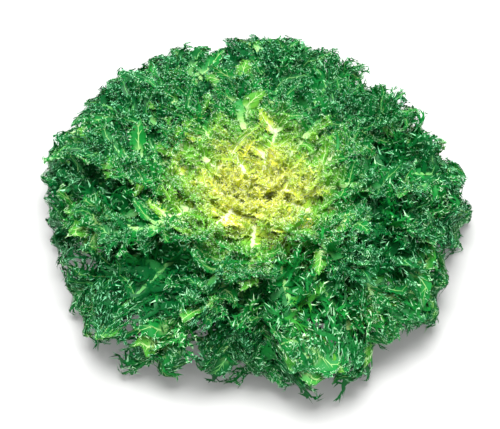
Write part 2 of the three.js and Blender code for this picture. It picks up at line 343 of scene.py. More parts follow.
BLADE_DEPTH = 0.018  # of a lobe's length
SPRIGS_OF_EACH = {Cut.FINE: 12, Cut.MEDIUM: 7, Cut.BROAD: 6, Cut.SPARE: 4}
SPRIG_SEED = 100
LEAF_SEED = 500


@dataclass(frozen=True)
class SprigDraws:
    """The ranges that a sprig's numbers are drawn from.

    Lengths, the blade's and the steps' curl and the lift are shares of the plan's. Other bends are degrees.
    """

    blade_curl: tuple = (-1.0, 1.2)
    blade_turn: tuple = (-15, 15)
    blade_twist: tuple = (-22, 22)
    lobelet_length: tuple = (0.8, 1.15)
    lobelet_lift: tuple = (-0.7, 1.2)
    lobelet_curl: tuple = (-28, 62)
    lobelet_turn: tuple = (30, 72)
    lobelet_twist: tuple = (-85, 85)
    step_curl: tuple = (0.5, 1.2)
    step_turn: tuple = (-14, 14)
    step_twist: tuple = (-16, 16)
    tooth_length: tuple = (0.7, 1.2)
    tooth_curl: tuple = (-35, 55)
    tooth_turn: tuple = (30, 66)


@dataclass(frozen=True)
class SprigReach:
    """How far from the rib each part of a sprig counts, from its root to its point, for the finish. Past 0.7 a
    point takes the tips' pale colour, a painted highlight.
    """

    blade_point: float = 0.5
    blade_fade: float = 0.08
    vein: tuple = (0.04, 0.12)
    side_vein: tuple = (0.08, 0.16)
    lobelet_root: float = 0.36
    # Lobelet points past 0.7 take some of the tips' pale colour, a painted highlight
    lobelet_point: tuple = (0.5, 0.8)
    # This share of teeth reaches the tips' pale colour: a painted highlight on their points
    painted_highlight_share: float = 0.42
    painted_highlight_tooth: tuple = (0.86, 0.96)
    green_tooth: tuple = (0.42, 0.7)
    tooth_gain: float = 0.04


class Sprig:
    """One side lobe of unit length, cut into lobelets and teeth. Leaves take copies of a few of them."""

    DRAWS = SprigDraws()
    REACH = SprigReach()
    LOBELET_SPAN = (0.10, 0.93)  # where along the lobe its lobelets stand
    LOBELET_STAGGER = 0.25  # how far a pair's lobelets stand before and after its middle, in pairs
    LOBELET_EDGE = 0.36  # how far out on the blade a lobelet starts, in widths
    LOBELET_SHORTENING = (1.0, 0.55)  # from the lobe's root to its point
    LOBELET_NARROWING = (1.0, 0.7)  # from the lobe's root to its point
    LOBELET_STEPS = (0.55, 0.45)  # of a lobelet's length
    TOOTH_SPAN = 1.45  # how many of the lobelet's steps carry teeth
    TOOTH_STAGGER = 0.4  # how much further along the right tooth of a pair stands, in pairs
    TOOTH_EDGE = 0.3  # how far out on the lobelet a tooth starts, in widths
    VEIN_TAPER = 0.9
    SIDE_VEIN_CURL = 4
    SIDE_VEIN_TURN = 32
    SIDE_VEIN_LENGTH = 0.7  # of the blade's width
    SIDE_VEIN_WIDTH = 0.45  # of the vein's width

    def __init__(self, plan: LobePlan, seed: int) -> None:
        """Grows the lobe.

        Args:
            plan: its sizes.
            seed: starts its random draws.
        """
        self.plan = plan
        self.rng = np.random.default_rng(seed)
        self.shape = Shape()
        self.grow()
        self.points, self.faces, self.marks = self.shape.whole()

    def draw(self, low: float, high: float) -> float:
        """A random number between two."""
        return float(self.rng.uniform(low, high))

    def grow(self) -> None:
        """The lobe's own blade, then its lobelets from the root outwards."""
        plan, draws, reach = self.plan, self.DRAWS, self.REACH
        steps = len(plan.widths)
        path = [Axes(np.zeros(3), np.eye(3))]
        for _ in range(steps):
            path.append(path[-1].step(1 / steps, curl=self.draw(*draws.blade_curl) * plan.curl,
                                      turn=self.draw(*draws.blade_turn), twist=self.draw(*draws.blade_twist)))
        self.shape.blade(path, list(plan.widths), BLADE_DEPTH, (plan.root_reach, reach.blade_point),
                         plan.columns, wave=plan.wave, fade=reach.blade_fade)
        if plan.vein:
            self.veins(path)
        for i in range(plan.lobelets):
            for side in SIDES:
                place = (i + 0.5 + self.LOBELET_STAGGER * side) / plan.lobelets
                where = mix(*self.LOBELET_SPAN, place) * steps
                k = min(int(where), steps - 1)
                width = np.interp(where, range(steps + 1), [*plan.widths, 0.0])
                root = between(path[k], path[k + 1], where - k).aside(side * width * self.LOBELET_EDGE)
                self.lobelet(root, side, where / steps)

    def veins(self, path: list[Axes]) -> None:
        """The lobe's pale midrib, and a pair of side veins at each step along it.

        Args:
            path: the middle of the lobe's blade.
        """
        plan, reach = self.plan, self.REACH
        steps = len(plan.widths)
        raised = [axes.aside(0, 0, BLADE_DEPTH) for axes in path]
        widths = [plan.vein * (1 - self.VEIN_TAPER * i / steps) for i in range(steps)]
        self.shape.tooth(raised, widths, BLADE_DEPTH, reach.vein)
        for axes, width in zip(raised[1:], plan.widths[1:]):
            for side in SIDES:
                spun = axes.spun(curl=self.SIDE_VEIN_CURL, turn=-side * self.SIDE_VEIN_TURN)
                start = Axes(axes.place, spun)
                branch = [start, start.step(width * self.SIDE_VEIN_LENGTH)]
                self.shape.tooth(branch, [plan.vein * self.SIDE_VEIN_WIDTH], BLADE_DEPTH, reach.side_vein)

    def lobelet(self, root: Axes, side: int, place: float) -> None:
        """One lobelet with its teeth.

        Args:
            root: where it leaves the lobe.
            side: -1 on the left, 1 on the right.
            place: how far along the lobe it is, from 0 to 1.
        """
        plan, draws, reach = self.plan, self.DRAWS, self.REACH
        length = plan.lobelet_length * mix(*self.LOBELET_SHORTENING, place) * self.draw(*draws.lobelet_length)
        lift = self.draw(*draws.lobelet_lift)
        path = [Axes(root.place, root.spun(curl=self.draw(*draws.lobelet_curl),
                                           turn=-side * self.draw(*draws.lobelet_turn),
                                           twist=self.draw(*draws.lobelet_twist)))]
        for share in self.LOBELET_STEPS:
            curl = plan.lobelet_curl * lift * self.draw(*draws.step_curl)
            path.append(path[-1].step(share * length, curl=curl, turn=self.draw(*draws.step_turn),
                                      twist=self.draw(*draws.step_twist)))
        width = plan.lobelet_width * mix(*self.LOBELET_NARROWING, place)
        far = (reach.lobelet_root, self.draw(*reach.lobelet_point))
        self.shape.tooth(path, [width, width], BLADE_DEPTH, far)
        for j in range(plan.teeth):
            for tooth_side in SIDES:
                share = (j + 0.5 + self.TOOTH_STAGGER * (tooth_side > 0)) / plan.teeth * self.TOOTH_SPAN
                k = min(int(share), 1)
                edge = self.TOOTH_EDGE * min(1, 2 - share)
                base = between(path[k], path[k + 1], share - k).aside(tooth_side * width * edge)
                self.point(base, tooth_side)

    def point(self, base: Axes, side: int) -> None:
        """One curled tooth, some with a painted highlight in pale colour at its point.

        Args:
            base: where it leaves the lobelet.
            side: -1 on the left, 1 on the right.
        """
        plan, draws, reach = self.plan, self.DRAWS, self.REACH
        length = plan.tooth_length * self.draw(*draws.tooth_length)
        start = Axes(base.place, base.spun(curl=self.draw(*draws.tooth_curl),
                                           turn=-side * self.draw(*draws.tooth_turn)))
        # Pale teeth reach the tips' colour: a painted highlight, not the leaf's own colour
        pale = self.draw(0, 1) < reach.painted_highlight_share
        root = self.draw(*(reach.painted_highlight_tooth if pale else reach.green_tooth))
        far = (root, root + reach.tooth_gain)
        self.shape.tooth([start, start.step(length)], [plan.tooth_width], BLADE_DEPTH, far)


class Spine:
    """The line of a leaf's rib from the stump to its tip."""

    SAMPLES = 200
    AHEAD = 0.01  # share of the length over which its direction is taken, each way

    def __init__(self, plan: HeadPlan, index: int, count: int) -> None:
        """Works out the line by the solids' own rule.

        Args:
            plan: the head's driving sizes.
            index: 0 for the outermost leaf.
            count: how many leaves there are.
        """
        draw = Dice(index + 1)
        self.share = share = index / (count - 1)
        azimuth_off = plan.azimuth_spread * mix(-1, 1, draw())
        azimuth = index * math.radians(plan.golden_angle) + math.radians(azimuth_off)
        span = 1 - (1 - plan.innermost_reach) * share**plan.reach_power
        reach = plan.radius * span * mix(*plan.reach_spread, draw())
        tip_lift_off = mix(-plan.tip_lift_spread, plan.tip_lift_spread, draw())
        tip_lift = math.radians(mix(*plan.tip_lift, share**plan.tip_lift_power) + tip_lift_off)
        root_lift = math.radians(mix(*plan.root_lift, share**plan.root_lift_power))
        sway = mix(*plan.sway, share) * mix(-1, 1, draw())
        point, out = plan.stump_surface(mix(plan.first_root, plan.last_root, share))
        root = point + out * plan.root_gap
        tip = np.array([reach, plan.crown_height(reach) - mix(*plan.tip_dip, draw())])
        pull = np.linalg.norm(tip - root) * plan.arch
        rise = np.array([math.cos(root_lift), math.sin(root_lift)]) * pull
        fall = np.array([math.cos(tip_lift), math.sin(tip_lift)]) * pull
        t = np.linspace(0, 1, self.SAMPLES + 1)[:, None]
        flat = ((1 - t) ** 3 * root + 3 * (1 - t) ** 2 * t * (root + rise) + 3 * (1 - t) * t**2 * (tip - fall)
                + t**3 * tip)
        run = np.concatenate([[0], np.cumsum(np.linalg.norm(np.diff(flat, axis=0), axis=1))])
        self.length = float(run[-1])
        even = np.linspace(0, self.length, self.SAMPLES + 1)
        away = np.array([math.cos(azimuth), math.sin(azimuth), 0.0])
        self.aside = np.array([-math.sin(azimuth), math.cos(azimuth), 0.0])
        distance, height = (np.interp(even, run, flat[:, i])[:, None] for i in (0, 1))
        shares = np.linspace(0, 1, self.SAMPLES + 1)[:, None]
        self.line = distance * away + sway * shares**2 * self.aside + height * np.array([0, 0, 1.0])

    def point(self, t: float) -> np.ndarray:
        """The place on the line.

        Args:
            t: share of the length, from 0 at the stump to 1 at the tip.

        Returns:
            The point, in millimetres.
        """
        where = np.clip(t, 0, 1) * self.SAMPLES
        k = min(int(where), self.SAMPLES - 1)
        return mix(self.line[k], self.line[k + 1], where - k)

    def at(self, t: float) -> Axes:
        """The place and directions on the line, with the leaf's upper face up.

        Args:
            t: share of the length, from 0 at the stump to 1 at the tip.

        Returns:
            The place with its right, forward and up directions.
        """
        ahead = self.point(min(1, t + self.AHEAD)) - self.point(max(0, t - self.AHEAD))
        ahead /= np.linalg.norm(ahead)
        up = np.cross(-self.aside, ahead)
        up /= np.linalg.norm(up)
        return Axes(self.point(t), np.stack([np.cross(ahead, up), ahead, up], 1))


# Directions in degrees from the right, anticlockwise from above, and how far the rim reaches there, in mm
RIM_REACH = (
    (0, 150), (8, 148), (20, 135), (45, 137), (60, 145), (75, 156), (120, 155), (134, 157), (141, 149),
    (150, 158), (165, 154), (190, 140), (200, 143), (215, 147), (230, 163), (245, 150), (255, 149),
    (262, 142), (272, 138), (284, 166), (294, 161), (303, 147), (312, 155), (322, 153), (332, 145),
    (345, 138),
)


def softly(over: np.ndarray, give: float) -> np.ndarray:
    """What is left of a distance past a limit that gives by no more than a set distance."""
    return give * (1 - np.exp(-over / give))


@dataclass
class Envelope:
    """Soft limits for the frill: the floor, and the crown and the rim, which it passes by less than they give.

    Each clump is a wave round the rim: its swing, its count, its lean by height and its start.
    """

    plan: HeadPlan
    floor: float = 0.5
    low: float = 9.0
    rim_give: float = 11.0
    crown_give: float = 26.0
    crown_gap: float = 1.0
    heart_press: float = 5.0
    heart_range: tuple = (20.0, 60.0)
    usual_rim: float = 150.0
    swell_range: tuple = (80.0, 150.0)
    clumps: tuple = ((3.5, 29, 0.10, 0), (2.5, 46, -0.18, 2))

    def rim(self, x: np.ndarray, y: np.ndarray, z: np.ndarray) -> np.ndarray:
        """How far the rim reaches in the direction of each point, with clumps of frill that stand out.

        Args:
            x: the points' places to the right.
            y: the points' places to the back.
            z: the points' heights.

        Returns:
            The rim's distance from the axis for each point.
        """
        directions, reaches = zip(*RIM_REACH)
        angle = np.arctan2(y, x)
        clumps = sum(
            swing * np.sin(count * angle + start + lean * z) for swing, count, lean, start in self.clumps
        )
        return np.interp(np.degrees(angle), directions, reaches, period=360) + clumps

    def hold(self, points: np.ndarray) -> np.ndarray:
        """Moves points inside, with less room the further out they were.

        Args:
            points: the points, in millimetres.

        Returns:
            The points where they end up.
        """
        x, y, z = points.T.copy()
        radius = np.hypot(x, y)
        rim = self.rim(x, y, z)
        swollen = radius * (1 + (rim / self.usual_rim - 1) * ramp(*self.swell_range, radius))
        held = np.minimum(swollen, rim) + softly(np.maximum(swollen - rim, 0), self.rim_give)
        x, y = x * held / radius, y * held / radius
        press = self.heart_press * (1 - ramp(*self.heart_range, held))
        top = self.plan.crown_height(held) - self.crown_gap - press
        z = np.minimum(z, top) + softly(np.maximum(z - top, 0), self.crown_give)
        z = np.maximum(z, self.low) - softly(np.maximum(self.low - z, 0), self.low - self.floor)
        return np.stack([x, y, z], 1)


@dataclass(frozen=True)
class RibSizes:
    """The midrib. How wide and deep it is at the stalk stands in the head's plan."""

    sides: int = 8
    stations: int = 22
    span: float = 0.985
    narrowing_power: float = 0.8
    tip_depth: float = 0.8
    thinning: float = 1.3
    height_above: float = 0.8
    stalk_reach: float = 0.03
    reach_gain: float = 0.04
    stripe_reach: float = 0.07
    tip_reach: float = 0.12
    foot_reach: float = 0.02


@dataclass(frozen=True)
class WingSizes:
    """The waved blade along a rib. The width and the taper go from the outermost leaf to the innermost."""

    width: tuple = (48.0, 14.0)
    taper: tuple = (0.78, 1.0)
    depth: float = 0.7
    columns: int = 5
    stations: int = 22
    start: float = 0.08
    swell_start: float = 0.1
    narrowest: float = 0.12
    notch: float = 0.62
    tongue: float = 0.5
    tongue_draw: tuple = (0.6, 1.0)
    reach: tuple = (0.36, 0.4)
    cup: float = 0.04
    wave: float = 0.10
    fade: float = 0.12
    tone: float = 0.0


@dataclass(frozen=True)
class CrestSizes:
    """The broad pale end of a rib, on every third leaf but none of the outermost twelve."""

    bare_leaves: int = 12
    width: float = 8.0
    swell: tuple = (0.5, 1.3)
    notch: float = 0.85
    tongue: float = 0.3
    depth: float = 0.9
    lift: float = 4.0
    columns: int = 5
    stations: int = 8
    start: tuple = (0.5, 0.62)
    span: tuple = (0.25, 0.33)
    reach: tuple = (0.10, 0.2)
    cup: float = -0.12
    wave: float = 0.05
    fade: float = -0.03
    tone: float = 0.06


@dataclass(frozen=True)
class LobeSizes:
    """How side lobes are spread along a rib and set on it, in millimetres, degrees and shares.

    The spacing goes from the outermost leaf to the innermost, and forward from the stalk to the tip.
    """

    spacing: tuple = (6.3, 4.0)
    frill_limit: float = 0.72
    start: float = 0.94
    end: float = 0.97
    stagger: float = 0.25
    scatter: float = 0.2
    swell: tuple = (0.08, 0.82)
    shortest: float = 0.55
    length_draw: tuple = (0.75, 1.08)
    forward: tuple = (10.0, 46.0)
    turn_spread: float = 9.0
    tilt: tuple = (-12.0, 50.0)
    low_tilt: tuple = (-20.0, 26.0)
    tilt_power: float = 1.2
    roll: float = 26.0
    broad_share: float = 0.17
    medium_share: float = 0.34
    fresh: tuple = (-0.05, 0.26)
    fresh_power: int = 3
    fresh_broad: tuple = (0.0, 0.38)
    end_turns: tuple = (-62, -34, 0, 34, 62)
    end_length: tuple = (0.72, 0.98)
    fan_turns: tuple = (-75, -45, -15, 15, 45, 75)
    fan_length: tuple = (0.85, 1.0)
    fan_place: float = 0.94
    open_rim: float = 121.0
    covered_depth: float = 16.0


@dataclass(frozen=True)
class LeafSizes:
    """The parts of a leaf, and the tone that grows from the dark rim to the yellow heart.

    In each cycle of leaves the first one lies lower, and the second may have a crest.
    """

    rib: RibSizes = RibSizes()
    wing: WingSizes = WingSizes()
    crest: CrestSizes = CrestSizes()
    lobes: LobeSizes = LobeSizes()
    cycle: int = 3
    heart_centre: tuple = (0.0, -10.0)
    tone_range: tuple = (0.12, 0.62)
    tone_power: float = 0.85
    tone_spread: float = 0.07
    tone_start: float = 0.07
    tone_scale: float = 0.86
    across_tone: float = 0.02


@dataclass
class Leaf:
    """One leaf: the rib with its waved blade, on some a pale crest, the side lobes and the end lobes."""

    plan: HeadPlan
    sizes: LeafSizes
    envelope: Envelope
    sprigs: dict[Cut, list[Sprig]]
    node: str
    index: int
    count: int
    rng: np.random.Generator = field(init=False)
    spine: Spine = field(init=False)
    shape: Shape = field(init=False)

    def __post_init__(self) -> None:
        """Starts the leaf's own random draws, its rib's line and its bodies."""
        self.rng = np.random.default_rng(LEAF_SEED + self.index)
        self.spine = Spine(self.plan, self.index, self.count)
        self.shape = Shape()

    def tone(self, points: np.ndarray) -> np.ndarray:
        """How far towards the heart's yellow the points are: 0 dark green, 1 yellow."""
        x, y = (points[:, :2] - self.sizes.heart_centre).T
        return 1 - ramp(*self.sizes.tone_range, np.hypot(x, y) / self.plan.radius) ** self.sizes.tone_power

    def crested(self) -> bool:
        """Whether the leaf has a crest."""
        return self.index >= self.sizes.crest.bare_leaves and self.index % self.sizes.cycle == 1

    def build(self, finish: "LeafFinish") -> bpy.types.Object:
        """Makes the leaf's mesh and object.

        Args:
            finish: its material's maker.

        Returns:
            The object, in metres, with its place in its mesh.
        """
        sizes = self.sizes
        self.rib()
        self.wing()
        if self.crested():
            self.crest()
        self.lobes()
        points, faces, marks = self.shape.whole()
        points = self.envelope.hold(points)
        tone = self.tone(points) + self.rng.uniform(-sizes.tone_spread, sizes.tone_spread)
        tone = np.clip(tone * sizes.tone_scale + sizes.tone_start + marks[:, 0], 0, 1)
        finish_place = np.stack([tone, marks[:, 1]], 1)
        return make_object(f"{self.node}_frill", points * MM, faces, finish_place, finish.material())

    def rib(self) -> None:
        """The midrib: a tapered stalk, a little flatter above than below."""
        plan, sizes, spine = self.plan, self.sizes.rib, self.spine
        sides, stations = sizes.sides, sizes.stations
        angles = np.arange(sides) * 2 * math.pi / sides
        points, marks = [], []
        for i in range(stations):
            t = sizes.span * i / stations
            axes = spine.at(t)
            width = mix(mix(*plan.rib_width, spine.share), plan.rib_tip_width, t**sizes.narrowing_power)
            depth = mix(mix(*plan.rib_depth, spine.share), sizes.tip_depth, min(1, t * sizes.thinning))
            z = np.sin(angles) * depth / 2
            lowered = np.where(z > 0, z * sizes.height_above, z)
            ring = np.stack([np.cos(angles) * width / 2, 0 * angles, lowered], 1)
            points.append(axes.place + ring @ axes.turn.T)
            stripes = sizes.stalk_reach + sizes.reach_gain * t + sizes.stripe_reach * (np.arange(sides) % 2)
            marks.append(np.stack([np.cos(angles) * self.sizes.across_tone, stripes], 1))
        points += [spine.point(1.0)[None], spine.point(0.0)[None]]
        marks.append(np.array([[0, sizes.tip_reach], [0, sizes.foot_reach]]))
        apex, foot = sides * stations, sides * stations + 1
        faces = []
        for j in range(sides):
            k = (j + 1) % sides
            for i in range(stations - 1):
                a, b = i * sides, (i + 1) * sides
                faces += [(a + j, b + j, b + k), (a + j, b + k, a + k)]
            last = (stations - 1) * sides
            faces += [(last + j, apex, last + k), (foot, j, k)]
        self.shape.add(np.concatenate(points), np.array(faces), np.concatenate(marks))

    def wing(self) -> None:
        """The waved blade that runs along both sides of the rib, under the lobes."""
        sizes, rng, spine = self.sizes.wing, self.rng, self.spine
        widest = mix(*sizes.width, spine.share)
        shares = np.linspace(sizes.start, 1.0, sizes.stations + 1)
        path = [spine.at(t).aside(0, 0, -sizes.depth) for t in shares]
        notches = [sizes.notch + sizes.tongue * (i % 2) * rng.uniform(*sizes.tongue_draw)
                   for i in range(sizes.stations)]
        taper = mix(*sizes.taper, spine.share)
        swells = [math.sin(math.pi * mix(sizes.swell_start, taper, t)) for t in shares]
        widths = [widest * mix(sizes.narrowest, 1, swell) * notch for swell, notch in zip(swells, notches)]
        self.strip(path, widths, sizes)

    def crest(self) -> None:
        """The broad pale end of a rib, which shows between its two rows of lobes."""
        sizes, rng = self.sizes.crest, self.rng
        start = rng.uniform(*sizes.start)
        shares = np.linspace(start, start + rng.uniform(*sizes.span), sizes.stations + 1)
        path = [self.spine.at(t).aside(0, 0, sizes.lift) for t in shares]
        widths = [sizes.width * mix(*sizes.swell, i / sizes.stations) * (sizes.notch + sizes.tongue * (i % 2))
                  for i in range(sizes.stations)]
        self.strip(path, widths, sizes)

    def strip(self, path: list[Axes], widths: list[float], sizes: WingSizes | CrestSizes) -> None:
        """Adds a blade that runs along the rib.

        Args:
            path: where it runs.
            widths: its width at each place of the path but the last.
            sizes: its other sizes.
        """
        self.shape.blade(path, widths, sizes.depth, sizes.reach, sizes.columns, sizes.cup, sizes.wave,
                         sizes.fade)
        marks = self.shape.marks[-1]
        marks[:, 0] = marks[:, 0] * self.sizes.across_tone + sizes.tone

    def lobes(self) -> None:
        """The side lobes from the stalk to the tip, the end lobes, and on an outer leaf a fan at its rim."""
        plan, sizes, rng, spine = self.plan, self.sizes.lobes, self.rng, self.spine
        frill = min(mix(*plan.frill_length, spine.share), spine.length * sizes.frill_limit)
        bare = 1 - frill / spine.length
        longest = mix(*plan.lobe_length, spine.share)
        pairs = round(frill / mix(*sizes.spacing, spine.share))
        for i in range(pairs):
            for side in SIDES:
                scatter = rng.uniform(-sizes.scatter, sizes.scatter)
                place = (i + 0.5 + sizes.stagger * side + scatter) / pairs
                t = mix(bare * sizes.start, sizes.end, place)
                swell = math.sin(math.pi * mix(*sizes.swell, place))
                length = longest * mix(sizes.shortest, 1, swell) * rng.uniform(*sizes.length_draw)
                self.lobe(t, side, mix(*sizes.forward, place), length)
        for turn in sizes.end_turns:
            self.lobe(sizes.end, 1, 90 + turn, longest * rng.uniform(*sizes.end_length))
        if self.node.startswith(Stage.OUTER.word):
            for turn in sizes.fan_turns:
                length = longest * rng.uniform(*sizes.fan_length)
                self.lobe(sizes.fan_place, 1, 90 + turn, length, Cut.SPARE)

    def lobe(self, t: float, side: int, forward: float, length: float, cut: Cut | None = None) -> None:
        """Sets one copy of a sprig on the rib.

        Args:
            t: place along the rib.
            side: -1 on the left, 1 on the right.
            forward: degrees that it points ahead of straight sideways.
            length: its length.
            cut: how finely it is cut, where that isn't drawn.
        """
        rng, sizes = self.rng, self.sizes.lobes
        axes = self.spine.at(t)
        turn = -side * (90 - forward - rng.uniform(-sizes.turn_spread, sizes.turn_spread))
        tilts = sizes.low_tilt if self.index % self.sizes.cycle == 0 else sizes.tilt
        tilt = mix(*tilts, rng.uniform() ** sizes.tilt_power)
        aim = Axes(axes.place, axes.spun(turn=turn))
        aim = Axes(axes.place, aim.spun(curl=tilt, twist=rng.uniform(-1, 1) * sizes.roll))
        cut = cut or (Cut.SPARE if self.covered(axes.place) else self.cut())
        sprig = self.sprigs[cut][rng.integers(len(self.sprigs[cut]))]
        points = aim.place + (sprig.points * length) @ aim.turn.T
        marks = sprig.marks.copy()
        fresh = rng.uniform()
        if cut is Cut.BROAD:
            fresh = mix(*sizes.fresh_broad, fresh)
        else:
            fresh = mix(*sizes.fresh, fresh**sizes.fresh_power)
        marks[:, 0] = marks[:, 0] * self.sizes.across_tone + fresh
        self.shape.add(points, sprig.faces, marks)

    def covered(self, place: np.ndarray) -> bool:
        """Whether a place lies so deep under the upper leaves that it doesn't show from above."""
        radius, sizes = float(np.hypot(place[0], place[1])), self.sizes.lobes
        return radius < sizes.open_rim and self.plan.crown_height(radius) - place[2] > sizes.covered_depth

    def cut(self) -> Cut:
        """Draws how finely the next lobe is cut.

        Returns:
            The cut.
        """
        draw, sizes = self.rng.uniform(), self.sizes.lobes
        if draw < sizes.broad_share:
            return Cut.BROAD
        return Cut.MEDIUM if draw < sizes.broad_share + sizes.medium_share else Cut.FINE


def make_object(name: str, points: np.ndarray, faces: np.ndarray, places: np.ndarray,
                material: bpy.types.Material) -> bpy.types.Object:
    """Makes an object of triangles with a UV map.

    Args:
        name: the object's name.
        points: corners, in metres.
        faces: triangles of corner numbers.
        places: each corner's place in the UV map.
        material: its only material.

    Returns:
        The object, linked to the scene.
    """
    mesh = bpy.data.meshes.new(name)
    mesh.vertices.add(len(points))
    mesh.vertices.foreach_set("co", points.astype(np.float32).ravel())
    mesh.loops.add(faces.size)
    mesh.loops.foreach_set("vertex_index", faces.astype(np.int32).ravel())
    mesh.polygons.add(len(faces))
    mesh.polygons.foreach_set("loop_start", np.arange(0, faces.size, 3, dtype=np.int32))
    mesh.update(calc_edges=True)
    layer = mesh.uv_layers.new(name=UV_MAP)
    layer.uv.foreach_set("vector", places[faces.ravel()].astype(np.float32).ravel())
    mesh.polygons.foreach_set("use_smooth", np.ones(len(faces), bool))
    mesh.set_sharp_from_angle(angle=SHARP_EDGE)
    mesh.validate()
    mesh.materials.append(material)
    piece = bpy.data.objects.new(name, mesh)
    bpy.context.collection.objects.link(piece)
    return piece


def triangles(piece: bpy.types.Object) -> int:
    """How many triangles a piece has."""
    return sum(len(face.vertices) - 2 for face in piece.data.polygons)


class NodeTree:
    """A small helper that adds and links shader nodes. An input may be given an output or a plain value."""

    def __init__(self, tree: bpy.types.NodeTree) -> None:
        """Works in one node tree."""
        self.tree = tree

    def add(self, kind: str, **settings: object) -> bpy.types.Node:
        """Adds a node.

        Args:
            kind: its type.
            settings: its settings by name.

        Returns:
            The node.
        """
        node = self.tree.nodes.new(kind)
        for name, value in settings.items():
            setattr(node, name, value)
        return node

    def link(self, source: bpy.types.NodeSocket, target: bpy.types.NodeSocket) -> None:
        """Links an output to an input."""
        self.tree.links.new(source, target)

    def feed(self, socket: bpy.types.NodeSocket, value: Input) -> None:
        """Gives an input what it reads.

        Args:
            socket: the input.
            value: an output or a plain value. None leaves the input as it is.
        """
        if isinstance(value, bpy.types.NodeSocket):
            self.link(value, socket)
        elif value is not None:
            socket.default_value = value

    def math(self, operation: str, a: Input, b: Input = None, c: Input = None) -> bpy.types.NodeSocket:
        """A Math node.

        Args:
            operation: what it works out.
            a: its first input.
            b: its second input, where it has one.
            c: its third input, where it has one.

        Returns:
            Its output.
        """
        node = self.add("ShaderNodeMath", operation=operation)
        for socket, value in zip(node.inputs, (a, b, c)):
            self.feed(socket, value)
        return node.outputs[0]

    def ramp(self, fac: bpy.types.NodeSocket, stops: list[tuple[float, tuple]]) -> bpy.types.NodeSocket:
        """A colour ramp.

        Args:
            fac: where along the ramp to read.
            stops: places along it and their colours.

        Returns:
            The colour.
        """
        node = self.add("ShaderNodeValToRGB")
        elements = node.color_ramp.elements
        while len(elements) < len(stops):
            elements.new(0.5)
        for element, (place, colour) in zip(elements, stops):
            element.position = place
            element.color = (*colour, 1.0)
        self.link(fac, node.inputs["Fac"])
        return node.outputs["Color"]

    def mask(self, value: bpy.types.NodeSocket, low: float, high: float) -> bpy.types.NodeSocket:
        """A smooth step.

        Args:
            value: what it follows.
            low: where it is still 0.
            high: where it has become 1.

        Returns:
            The step, from 0 to 1.
        """
        node = self.add("ShaderNodeMapRange", interpolation_type="SMOOTHSTEP")
        for name, setting in (("Value", value), ("From Min", low), ("From Max", high)):
            self.feed(node.inputs[name], setting)
        return node.outputs["Result"]

    def blend(self, fac: Input, a: Input, b: Input) -> bpy.types.NodeSocket:
        """Mixes two colours.

        Args:
            fac: how much of the second one shows.
            a: the first colour.
            b: the second colour.

        Returns:
            The mixed colour.
        """
        node = self.add("ShaderNodeMix", data_type="RGBA", blend_type="MIX")
        for socket, value in ((node.inputs["Factor"], fac), (node.inputs[6], a), (node.inputs[7], b)):
            self.feed(socket, value)
        return node.outputs[2]

    def noise(self, place: bpy.types.NodeSocket, scale: float, detail: float,
              **settings: object) -> bpy.types.NodeSocket:
        """A noise pattern.

        Args:
            place: where to read it.
            scale: how fine it is.
            detail: how many finer layers it has.
            settings: the node's settings by name.

        Returns:
            The noise, from 0 to 1.
        """
        node = self.add("ShaderNodeTexNoise", **settings)
        for name, value in (("Vector", place), ("Scale", scale), ("Detail", detail)):
            self.feed(node.inputs[name], value)
        return node.outputs["Fac"]

    def dress(self, shader: bpy.types.Node, height: bpy.types.NodeSocket, bump: tuple, values: dict) -> None:
        """Finishes a shader.

        Args:
            shader: the Principled BSDF.
            height: what its bumps follow.
            bump: how strong and how high they are, the height in metres.
            values: its other inputs by name.
        """
        node = self.add("ShaderNodeBump")
        for name, value in zip(("Strength", "Distance", "Height"), (*bump, height)):
            self.feed(node.inputs[name], value)
        for name, value in {"Normal": node.outputs["Normal"], **values}.items():
            self.feed(shader.inputs[name], value)


def new_material(name: str) -> tuple[bpy.types.Material, NodeTree, bpy.types.Node]:
    """Starts a material.

    Args:
        name: its name.

    Returns:
        The material, its node tree and its shader.
    """
    material = bpy.data.materials.new(name)
    material.use_nodes = True
    return material, NodeTree(material.node_tree), material.node_tree.nodes["Principled BSDF"]


# Colours from the dark rim, at 0, to the yellow heart, at 1
GREENS = {
    "rib": [(0.0, (0.09, 0.40, 0.09)), (0.45, (0.44, 0.72, 0.24)), (1.0, (0.92, 0.94, 0.62))],
    "blade": [(0.0, (0.0005, 0.090, 0.018)), (0.3, (0.006, 0.23, 0.030)), (0.6, (0.14, 0.44, 0.03)),
              (0.85, (0.46, 0.63, 0.06)), (1.0, (0.60, 0.65, 0.06))],
    # The tips' pale colours are a painted highlight on the points of teeth and lobelets
    "tip": [(0.0, (0.20, 0.65, 0.32)), (0.3, (0.54, 0.93, 0.50)), (0.75, (0.90, 1.0, 0.56)),
            (1.0, (0.98, 1.0, 0.64))],
}
BLADE_REACH = (0.08, 0.22)  # where the rib's colour gives way to the blade's
PAINTED_HIGHLIGHT_REACH = (0.70, 1.0)  # where the blade's colour gives way to the tips' pale colour, a painted highlight
STREAK_SCALE = (60.0, 9.0, 1.0)
STREAK_DETAIL = 3.0
ROUGHNESS = (0.16, 0.36)  # how much the streaks add, and the least
FLECK_COLOUR = (0.72, 0.36, 0.10, 1.0)
FLECK_NOISE = (0.62, 0.72)
FLECK_TONE = (0.45, 0.9)
FLECK_STRENGTH = 0.35
MOTTLE = 0.2


